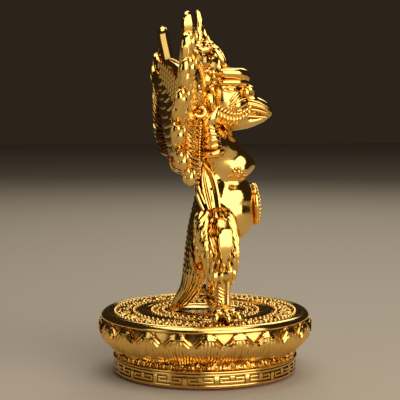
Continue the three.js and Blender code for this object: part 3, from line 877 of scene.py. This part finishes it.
# Double brow: two thick rolls round the forehead, the upper one taller
for level, reach, tall, droop in ((117.6, 0.5, 2.7, 1.5), (113.1, -0.3, 2.2, 0.2)):
    half_roll = [(7.6 + reach, -4.4, 0), (8.0 + reach, -9.0, 0), (7.4 + reach, -13.4, 0.1),
                 (5.0 + reach, -17.4, 0.5), (0, -19.0 - reach, 1)]
    brow = ([(x, y, level - droop * share) for x, y, share in half_roll]
            + [(-x, y, level - droop * share) for x, y, share in half_roll[-2::-1]])
    front = tall + 0.6 * droop
    half_thicks = [tall * 0.8, tall, tall, front * 0.95]
    cast_roll(brow, [3.0] + [3.2] * 7 + [3.0], half_thicks + [front] + half_thicks[::-1], (0, 0, 1), 30, 16)


def on_head(side, lift, *places):
    """Points on the side of the head, each given by its depth and level, lifted off it sideways."""
    line = []
    for depth, level in places:
        found = head_skin.ray_cast(Vector((side * 60, depth, level)), Vector((-side, 0, 0)))[0]
        line.append(np.array(found) + np.array((side * lift, 0, 0)))
    return line


for side in sides_of_figure:
    outward = np.array((side, -0.25, 0.1))
    # Two balls of the knob over the beak
    cast(bead((side * 5.4, -19.6, 108.0), (2.5, 2.4, 2.7), 14, 10))
    cast(bead((side * 2.2, -22.6, 108.7), (2.1, 2.0, 2.5), 14, 10))
    # Half-closed eye between two narrow lids
    for rise, width in ((1.5, 0.55), (-0.9, 0.45)):
        lid = on_head(side, 0.1, (-7.2, eye_level), (-9.2, eye_level + rise * 0.8), (-11.2, eye_level + rise),
                      (-13.0, eye_level + rise * 0.6), (-14.8, eye_level - 0.3))
        cast_roll(lid, [0.25, width, width, 0.25], [0.5, 0.7, 0.7, 0.4], outward, 10, 7)
    cast(bead(on_head(side, -0.5, (-11.1, 109.6))[0], (1.2, 2.7, 1.0), 12, 8))
    # Raised lines along the beak, above and below the mouth
    for start, middle, end, width in (
            ((7.0, -19, 104.6), (6.2, -26, 104.4), (3.9, -31.4, 100.4), 0.55),
            ((7.6, -18, 102.6), (6.6, -25.5, 102.6), (4.1, -31.8, 98.8), 0.6),
            ((8.2, -16, 100.2), (6.8, -24.5, 100.6), (4.0, -32.0, 97.3), 0.6),
            ((8.0, -14, 96.6), (6.2, -22, 96.8), (3.5, -31.4, 95.9), 0.6)):
        line = curved(*on_side(side, start, middle, end))
        cast_roll(line, [width * 0.5, width, width, width * 0.7], [0.35, 0.5, 0.5, 0.35], outward, 12, 6)
    # Slanting folds from the knob down behind the mouth
    for fold in (((-16.2, 109.2), (-13.8, 107.0), (-10.6, 103.9)),
                 ((-16.8, 107.8), (-14.0, 105.4), (-10.2, 101.4)),
                 ((-16.9, 106.2), (-14.4, 103.9), (-9.6, 99.6))):
        cast_roll(on_head(side, 0.2, *fold), [0.4, 0.8, 0.8, 0.5], [0.5, 0.8, 0.8, 0.5], outward, 9)
    # A smooth pillow of cheek over the corner of the mouth, and two folds of lip round it
    pillow = [on_head(side, lift, place)[0] for place, lift in (
        ((-12.0, 99.8), 0.1), ((-14.6, 101.7), 0.3), ((-17.4, 103.2), 0.8), ((-20.4, 104.4), 1.2))]
    cast_roll(pillow, [0.6, 2.1, 2.4, 1.6], [0.7, 1.5, 1.6, 1.2], outward, 12, 14)
    for drop in (0, 1.6):
        lip = on_head(side, 0.2, (-13.8, 99.0 - drop), (-16.6, 99.8 - drop), (-19.6, 101.4 - drop),
                      (-22.6, 102.4 - drop))
        cast_roll(lip, [0.4, 0.75, 0.75, 0.5], [0.5, 0.7, 0.7, 0.5], outward, 10)
    # Beard: a rolled edge along the jaw, and thick wavy locks that hang from it and curl up over it
    jaw = []
    for place in range(12):
        share = place / 11
        jaw.append(np.array((side * (10.6 - 3.2 * share), -4.6 - 17.4 * share,
                             99.4 - 4.6 * math.sin(math.pi * share * 0.9) + 2.8 * share)))
    cast_roll(jaw, [0.7, 0.95, 0.95, 0.6], [0.7, 0.9, 0.9, 0.5], outward, 24)
    for place, root in enumerate(jaw[:-1]):
        drop = 4.3 - 0.16 * place + 0.5 * (place % 2)
        hanging = curved(root + (side * 0.2, 0, 0.3), root + (side * 1.5, -1.3, -0.5 * drop),
                         root + (side * 0.2, 1.7, -drop))
        cast_roll(hanging, [0.8, 1.25, 0.9, 0.35], [0.8, 1.2, 0.9, 0.4], outward, 6, 7)
        curling = curved(root + (side * 0.3, 0.9, 0.2), root + (side * 1.2, -0.6, 1.6),
                         root + (side * 0.1, -1.9, 2.4))
        cast_roll(curling, [0.6, 0.85, 0.5], [0.6, 0.8, 0.5], outward, 5, 6)
    # Guard down the side of the face: a lens-shaped drop, and a broad leaf under it
    drop_line = on_side(side, (11.4, -2.0, 112.4), (12.6, -2.0, 109.6), (12.4, -2.2, 106.8))
    leaf_line = on_side(side, (12.2, -1.2, 107.6), (13.2, -1.3, 103.8), (12.4, -2.4, 99.0))
    for line, widths, thicks in ((drop_line, [0.5, 1.3, 0.5], [0.9, 1.3, 0.9]),
                                 (leaf_line, [2.1, 2.2, 0.5], [1.2, 1.4, 0.9])):
        cast(swept(line, widths, thicks, (side, -0.3, 0.3), 8, smooth_face, True))
    # A notched leaf on the front of the wing, over the fist, with a bead on it, and a bead under the ear
    for row in range(4):
        root = np.array((side * 30.4, 10.4 - 0.5 * row, 109.4 - 1.7 * row))
        cast(plume(root, root + (side * 1.6, -2.2, -0.6), root + (side * 0.9, -5.4 + 0.9 * row, -2.0),
                   1.15, 1.2, (side, -0.2, 0.4), 1, 6, 0.85))
    cast(bead((side * 31.2, 7.0, 110.8), (1.3, 1.5, 1.5), 10, 7))
    cast(bead((side * 12.2, 1.9, 104.0), (1.2, 1.2, 1.2), 8, 6))
    # Ear: a disc in a ring of beads, with leaves below it and above it
    ear = np.array((side * 11.6, 1.0, 114.2))
    cast(bead(ear, (1.8, 3.0, 3.0), 12, 8))
    for around in turns(9):
        at_disc = ear + (side * 0.3, 4.1 * math.cos(around), 4.1 * math.sin(around))
        cast(bead(at_disc, (1.0, 1.15, 1.15), 7, 5))
    for root, bend, tip, width in (
            ((11.8, 2.4, 108.6), (14.2, 3.0, 105.0), (13.2, 0.6, 101.4), 1.6),
            ((11.4, 4.6, 110.4), (14.0, 6.4, 106.2), (13.4, 4.8, 102.4), 1.5),
            ((11.2, 3.8, 117.6), (13.4, 5.6, 120.6), (11.8, 3.8, 124.6), 1.6),
            ((10.8, -1.8, 118.2), (12.6, -3.6, 122.0), (10.8, -4.6, 126.2), 1.6),
            ((10.6, 1.0, 119.2), (12.8, 0.8, 123.0), (11.0, 0.8, 127.6), 1.7)):
        cast(leaf(*on_side(side, root, bend, tip), width, 1.1, (side, 0, 0), 6))
    # Crescent and commas above the ear, on the side of the crown
    for root, bend, tip, width in (
            ((9.4, 5.4, 131.0), (11.2, 2.6, 126.4), (10.0, -1.6, 130.2), 1.3),
            ((8.6, -2.0, 125.2), (10.8, -4.4, 122.6), (9.4, -7.0, 118.4), 1.4),
            ((7.4, -2.6, 130.4), (9.6, -6.4, 127.2), (8.2, -8.6, 121.8), 1.3)):
        cast(plume(*on_side(side, root, bend, tip), width, 0.9, (side, -0.3, 0), 1, 8))

# Arms: rolls of bangle stacked on the raised forearm, a string of beads, a curled fist, and a flap of
# sleeve that covers the bangles. All of them are cast on the arm.
# Bangles from the elbow up: level, radius and half thickness
bangles = ((79.6, 4.1, 1.5), (83.0, 3.7, 1.15), (85.6, 3.6, 1.05), (88.4, 3.5, 1.2), (91.4, 3.5, 0.85))
string_beads = 19
for side in sides_of_figure:
    for place, (level, radius, thick) in enumerate(bangles):
        middle = np.array((side * (28.4 + 0.15 * place), -0.2 + 0.35 * place, level))
        tip_down = 0.22 * radius * (1 if place == 0 else 0.3)
        ring = []
        for turn in range(21):
            around = turn * math.pi / 10
            sway = 0.35 * math.cos(3 * around + place) - tip_down * math.sin(around)
            ring.append(middle + on_circle(radius, around, sway))
        uneven_rolls = [thick * (1 + 0.16 * math.sin(2.3 * turn + place)) for turn in range(9)]
        cast_roll(ring, uneven_rolls, [0.95 * thick], (0, 0, 1), 24, 8, False)
    # A string of beads from the fist down past the elbow
    for place in range(string_beads):
        share = place / (string_beads - 1)
        at_string = (side * (31.8 - 3.0 * share), 5.9 + 0.5 * math.sin(share * math.pi), 94.0 - 24.5 * share)
        cast(bead(at_string, (0.8, 0.75, 0.8), 6, 5))
    # Fist: four fingers rolled round, side by side, and the palm between them
    hand = np.array((side * 29.0, 6.2, 99.3))
    for finger in range(4):
        rolled = []
        for share in np.linspace(0, 1, 10):
            around = 1.25 + share * 5.4
            reach = 1 - 0.42 * share
            rolled.append(hand + (side * (3.4 - 2.0 * finger - 0.8 * share), 3.3 * reach * math.sin(around),
                                  3.0 * reach * math.cos(around)))
        cast_roll(rolled, [1.0, 1.15, 1.1, 0.8], [0.9, 1.1, 1.0, 0.8], (side, 0, 0.2), 15)
    cast(bead(hand + (-side * 1.6, 0, 0), (3.0, 2.6, 2.5), 10, 7))
    # Flap of the sleeve, broad over the bangles and drawn out to a point in front of the fist
    flap = on_side(side, (30.6, 1.7, 92.6), (32.0, 1.5, 94.2), (32.5, 0.2, 96.8), (31.6, -2.4, 101.6))
    cast(swept(flap, [3.2, 3.0, 2.1, 0.4], [1.1, 1.3, 1.1, 0.4], (side, -0.2, 0.2), 10, smooth_face, True))

# Chest and waist: a flower over a crescent on each breast, petals of sash over the hips, and a round
# buckle plate with two rings of beads. They are cast on the skin.
hollow_petal = [(-1, 0), (-0.9, 0.9), (-0.7, 0.95), (-0.45, 0.25), (0, -0.05), (0.45, 0.25), (0.7, 0.95),
                (0.9, 0.9), (1, 0), (0.6, -1), (-0.6, -1)]
for side in sides_of_figure:
    breast, straight_out = on_skin(trunk_skin, (side * 20, -14.8, 68.8), 0.5)
    cast(bead(breast + straight_out * 0.5, (1.2, 1.2, 1.2), 8, 6))
    for around in turns(7):
        at_petal = breast + (0, 1.9 * math.cos(around), 1.9 * math.sin(around))
        cast(bead(on_skin(trunk_skin, at_petal, 0.4)[0], (1.0, 1.0, 1.0), 7, 5))
    crescent = [on_skin(trunk_skin, place, 0.3)[0] for place in on_side(
        side, (20, -11.6, 70.2), (20, -12.8, 67.2), (18, -15.6, 65.6), (16, -18.4, 66.0))]
    cast_roll(crescent, [0.5, 1.0, 1.0, 0.5], [0.5, 0.8, 0.8, 0.4], (side, -0.4, -0.3), 9, 7)
    # Three pointed petals of sash over the hip, hollow between their raised edges
    for tip, bend, root, width in (
            ((13.6, 2.6, 74.0), (18.4, 0.6, 65.5), (20.0, -1.6, 52.5), 4.3),
            ((13.4, 5.4, 69.2), (16.8, 3.2, 64.0), (19.4, 0.8, 55.0), 3.4),
            ((12.8, 5.8, 64.6), (16.4, 4.0, 60.0), (19.0, 1.4, 52.0), 3.2)):
        widths = width * np.array([0.1, 0.5, 0.78, 0.95, 1.0, 0.95, 0.8])
        cast(swept(curved(*on_leg(side, tip, bend, root)), widths, [0.8, 1.5, 1.7, 1.7, 1.6],
                   (side, -0.25, 0.2), 14, hollow_petal))
buckle_middle = np.array((0, -26.2, 52.9))
buckle_tilt = math.radians(86)
# Radius and height of the plate's steps, from its back round the rim to the boss in its middle
buckle_profile = [(0.01, -1.2), (9.6, -3.1), (10.6, -2.3), (10.7, -1.2), (10.2, -0.6), (9.2, -0.3),
                  (8.8, -0.6), (7.4, 0.3), (7.0, 0.6), (6.6, 0.4), (3.2, 1.2), (0.01, 2.1)]
buckle_columns = 40


def on_buckle(radius, around, height):
    """A place on the tilted buckle plate, from its middle."""
    x, y = radius * math.cos(around), radius * math.sin(around)
    return np.array((x, y * math.cos(buckle_tilt) - height * math.sin(buckle_tilt),
                     y * math.sin(buckle_tilt) + height * math.cos(buckle_tilt)))


buckle_rings = [[on_buckle(radius, around, height) for around in turns(buckle_columns)]
                for radius, height in buckle_profile]
points, faces = shell_of(np.array(buckle_rings))
cast((points + buckle_middle, faces))
for radius, height, count, size in ((9.5, -0.4, 30, 0.95), (5.0, 0.9, 14, 0.9)):
    for around in turns(count):
        cast(bead(buckle_middle + on_buckle(radius, around, height), (size, size * 0.9, size), 7, 5))
cast(limb([(0, -20, 52), (0, -24, 52.6), (0, -27, 52.9)], [5.5, 4.6, 4.2]))

# Legs: rows of small overlapping feathers round each thigh, a smooth plate left among them on its outer
# side, a fringe over the shank, ribs on the shank, and a foot of three thick toes with claws and a heel.
uneven = np.random.default_rng(7)
flat_face = [(-1, 0), (-0.88, 0.8), (0, 1), (0.88, 0.8), (1, 0), (0.8, -1), (-0.8, -1)]
thigh_rows = 13
feather_pitch = 2.2
apron_feathers = 8
fringe_feathers = 15
shank_ribs = 9
toe_angles = (-0.42, 0.08, 0.56)
up = np.array((0, 0, 1.0))


def laid_leaf(skin, start, direction, length, half_width, half_thick, steps=3):
    """A small feather that lies on a skin, starting nearest to a place and pointing in a direction."""
    root, straight_out = on_skin(skin, start, -0.2)
    direction = np.array(direction, float)
    direction -= (direction * straight_out).sum() * straight_out
    direction /= np.linalg.norm(direction)
    middle = on_skin(skin, root + direction * length * 0.55, half_thick * 1.3)[0]
    tip = on_skin(skin, root + direction * length, half_thick * 0.8)[0]
    return leaf(root, middle, tip, half_width, half_thick, straight_out, steps)


for side in sides_of_figure:
    thigh = thigh_line(side)
    for row in range(thigh_rows):
        place = 0.3 + row / (thigh_rows - 1) * 2.32
        before = min(int(place), 2)
        part = place - before
        middle = thigh[before] * (1 - part) + thigh[before + 1] * part
        radius = thigh_radii[before] * (1 - part) + thigh_radii[before + 1] * part
        count = int(2 * math.pi * radius / feather_pitch)
        for turn in range(count):
            around = (turn + 0.5 * (row % 2) + uneven.uniform(-0.12, 0.12)) * 2 * math.pi / count
            out = np.array(on_circle(1, around, 0))
            start = middle + out * radius + (0, 0, 1.5 + uneven.uniform(-0.4, 0.4))
            surface, _ = on_skin(trunk_skin, start)
            inside_body = np.linalg.norm(surface - start) > 2.6
            between_thighs = side * out[0] < -0.3 and place < 1.3
            if inside_body or between_thighs:
                continue
            lean = np.array((0, 0.25 * out[1], -1)) + uneven.uniform(-0.12, 0.12, 3)
            cast(laid_leaf(trunk_skin, surface, lean, 7.0, 1.05, 0.95))
    # A smooth pointed apron on the outer side, and long feathers that slant down to it from the hip
    apron = on_leg(side, (26.0, -5.2, 48), (31.0, -5.4, 43), (33.0, -5.6, 36), (32.6, -4.9, 25))
    cast(swept(apron, [2.6, 3.5, 3.4, 0.7], [1.2, 1.2, 1.2, 0.8], (side, -0.2, 0.3), 12, flat_face, True))
    for place in range(apron_feathers):
        start = on_leg(side, (34, 5.6 - 1.5 * place, 47.5 - 0.5 * abs(place - 3)))[0]
        lean = (0, -0.42 + 0.03 * place, -1)
        cast(laid_leaf(trunk_skin, start, lean, 12.5 - 0.5 * place, 1.3, 1.25, 6))
    # The fringe under them
    for around in turns(fringe_feathers):
        out = np.array(on_circle(1, around, 0))
        root = on_leg(side, (27.2, -4.6, 25 + uneven.uniform(-1.2, 1.2)))[0] + out * 5.6
        drop = uneven.uniform(5.6, 8.0)
        cast(leaf(root, root + out * 1.5 - up * 0.4 * drop, root + out * 0.2 - up * drop, 1.6, 1.1, out, 4))
    # The bright front ridge of the shank, and its ribs
    ridge = on_leg(side, (30.8, -7.4, 22), (31.4, -7.0, 12), (31.8, -6.9, 6))
    cast_roll(ridge, [1.7, 1.5, 1.7], [1.2, 1.2, 1.3], (side, -0.35, 0), 8, 8, False)
    for rib in range(shank_ribs):
        level = 7.0 + rib * 1.65
        rib_line = on_leg(side, (30.6, -1.2, level + 1.8), (31.6, -3.2, level + 0.2),
                          (31.4, -5.8, level - 1.0))
        cast_roll(rib_line, [0.6, 0.85, 0.6], [0.5, 0.6, 0.5], (side, 0, 0.1), 6)
    # Foot: ankle, then each toe with its claw and two folds of skin, and the heel
    ankle = on_leg(side, (31.0, -4.8, 3.6))[0]
    cast(bead(ankle, (5.0, 4.6, 4.6), 14, 9))
    for spread in toe_angles:
        ahead = np.array((side * math.cos(spread), -math.sin(spread), 0))
        sideways = np.array((-ahead[1], ahead[0], 0))
        toe = [ankle + ahead * 1.0, ankle + ahead * 5.6 + up, ankle + ahead * 9.8 - up * 0.6]
        cast_roll(toe, [2.6, 2.9, 2.7], [2.6, 2.9, 2.7], (0, 0, 1), 7, 12)
        claw = [ankle + ahead * 9.0 + up * 0.6, ankle + ahead * 11.8 - up * 0.2,
                ankle + ahead * 12.9 - up * 2.7]
        cast_roll(claw, [2.0, 1.8, 0.7], [1.8, 1.5, 0.7], (0, 0, 1), 6, 9)
        for fold in range(2):
            centre = ankle + ahead * (4.2 + 2.6 * fold) + up * (2.2 - 0.5 * fold)
            fold_line = [centre - sideways * 2.6 - up * 0.7, centre + up * 2.1,
                         centre + sideways * 2.6 - up * 0.7]
            cast_roll(fold_line, [0.6, 0.8, 0.6], [0.35, 0.45, 0.35], (0, 0, 1), 5, 5, False)
    heel = [ankle, ankle + (-side * 4, 0, -0.4), ankle + (-side * 7.0, 0, -1.8)]
    cast_roll(heel, [2.4, 2.4, 1.6], [2.2, 2.2, 1.6], (0, 0, 1), 5, 9)

# Back, rump and tail: rows of small feathers laid down the back and over the rump, then long strands
# round the tail, which runs down to the plate and is soldered there.
back_rows = 24
for row in range(back_rows):
    level = 87.0 - 2.8 * row
    reach = 12 if level > 66 else 16 if level > 34 else 13
    for place in range(-5, 6):
        across = reach * (place + 0.5 * (row % 2)) / 5 + uneven.uniform(-0.3, 0.3)
        found, straight_out = trunk_skin.ray_cast(Vector((across, 60, level)), Vector((0, -1, 0)))[:2]
        if found is None or straight_out[1] < 0.25:
            continue
        lean = np.array((0.03 * across, 0.1, -1)) + uneven.uniform(-0.12, 0.12, 3)
        cast(laid_leaf(trunk_skin, found, lean, 6.2, 1.9, 0.95, 2))
# Each row is a height, the tail's half width there, and the depth of its edges and of its back
tail_rows = [(28, 11.6, 3.0, 8.0), (21.5, 11.9, 4.4, 9.6), (16.5, 11.4, 5.4, 10.3), (10.7, 10.2, 7.8, 11.6),
             (4.6, 8.2, 12.8, 15.0), (0.6, 6.2, 15.4, 17.3)]
# Depth of the tail's front at the same heights
front_depths = [-2.8, -1.2, 1.0, 5.0, 10.8, 14.4]
for place in range(7):
    around = math.radians(-54 + 18 * place)
    strand = [(half * math.sin(around), edge + (front - edge) * math.cos(around), level + 2 * (place % 2))
              for (level, half, edge, _), front in zip(tail_rows, front_depths)]
    cast_roll(strand, [1.7, 1.9, 1.8, 1.6, 1.2, 0.4], [0.8, 1.0, 1.0, 0.9, 0.8, 0.4],
              (math.sin(around), -math.cos(around), -0.4), 8, 7)
tail_feathers = 19
for place in range(tail_feathers):
    around = math.radians(-112 + 224 * place / (tail_feathers - 1))
    rise = 1.2 * (place % 3) - 1.2
    strand = [(half * math.sin(around) * (1.0 if abs(around) < 1.6 else 0.96),
               edge + (spine - edge) * math.cos(around), level + rise * (level > 20))
              for level, half, edge, spine in tail_rows]
    cast(swept(strand, [0.8, 1.25, 1.2, 1.1, 0.95, 0.35], [0.9, 1.1, 1.1, 1.0, 0.9, 0.4],
               (math.sin(around), math.cos(around), 0.0), 13, ridged_section(2, 0.6), True))

for points, _ in figure_shells:
    points[:, 2] += plate_top
figure = mesh_object("garuda_gold", figure_shells, 62)
# The figure's dark gold colour is painted shade for its recesses.
figure.data.materials.append(gold_finish(
    "figure_gold", pale=(1.0, 0.65, 0.18), dark_or_shade=(0.68, 0.34, 0.055), roughness=0.085, ripple=0.00003))
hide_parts("garuda")
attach(figure, "root")

# Studio: a plain pale floor, a fairly dark room, and four soft boxes: a large one on the figure's right,
# one above, one on its left and a small one behind. They are the bright shapes that the polished plating
# mirrors. Colours are shown as they are, because the default view bleaches bright gold towards pink.
scene.view_settings.view_transform = "Standard"
floor_mesh = bpy.data.meshes.new("studio_floor")
# Half the side of the floor, in metres
half_side = 3
corners = [(x * half_side, y * half_side, 0) for x, y in ((-1, -1), (1, -1), (1, 1), (-1, 1))]
floor_mesh.from_pydata(corners, [], [(0, 1, 2, 3)])
floor = bpy.data.objects.new("studio_floor", floor_mesh)
floor.location.z = -0.00005
scene.collection.objects.link(floor)
paper, nodes, _ = new_material("pale_paper")
nodes["Principled BSDF"].inputs["Base Color"].default_value = (0.47, 0.395, 0.30, 1)
nodes["Principled BSDF"].inputs["Roughness"].default_value = 0.8
floor.data.materials.append(paper)

world = bpy.data.worlds.new("studio")
world.use_nodes = True
room = world.node_tree.nodes["Background"]
room.inputs["Color"].default_value = (1.0, 0.70, 0.44, 1)
room.inputs["Strength"].default_value = 0.025
scene.world = world


def soft_box(name, place, width, height, power):
    """A rectangular soft box that faces the figure's middle. Sizes are in metres, power in watts."""
    light = bpy.data.lights.new(name, "AREA")
    light.shape = "RECTANGLE"
    light.size = width
    light.size_y = height
    light.energy = power
    light.color = (1.0, 0.98, 0.93)
    lamp = bpy.data.objects.new(name, light)
    lamp.location = place
    lamp.rotation_mode = "QUATERNION"
    lamp.rotation_quaternion = (Vector((0, 0, 0.09)) - Vector(place)).to_track_quat("-Z", "Y")
    scene.collection.objects.link(lamp)


soft_box("key_box", (-0.84, -0.44, 0.52), 1.25, 1.1, 10.4)
soft_box("top_box", (0.05, 0.0, 1.1), 1.0, 0.9, 5.6)
soft_box("far_box", (0.9, -0.25, 0.75), 0.8, 0.45, 2.6)
soft_box("back_box", (-0.45, 0.8, 0.35), 0.35, 0.6, 0.6)
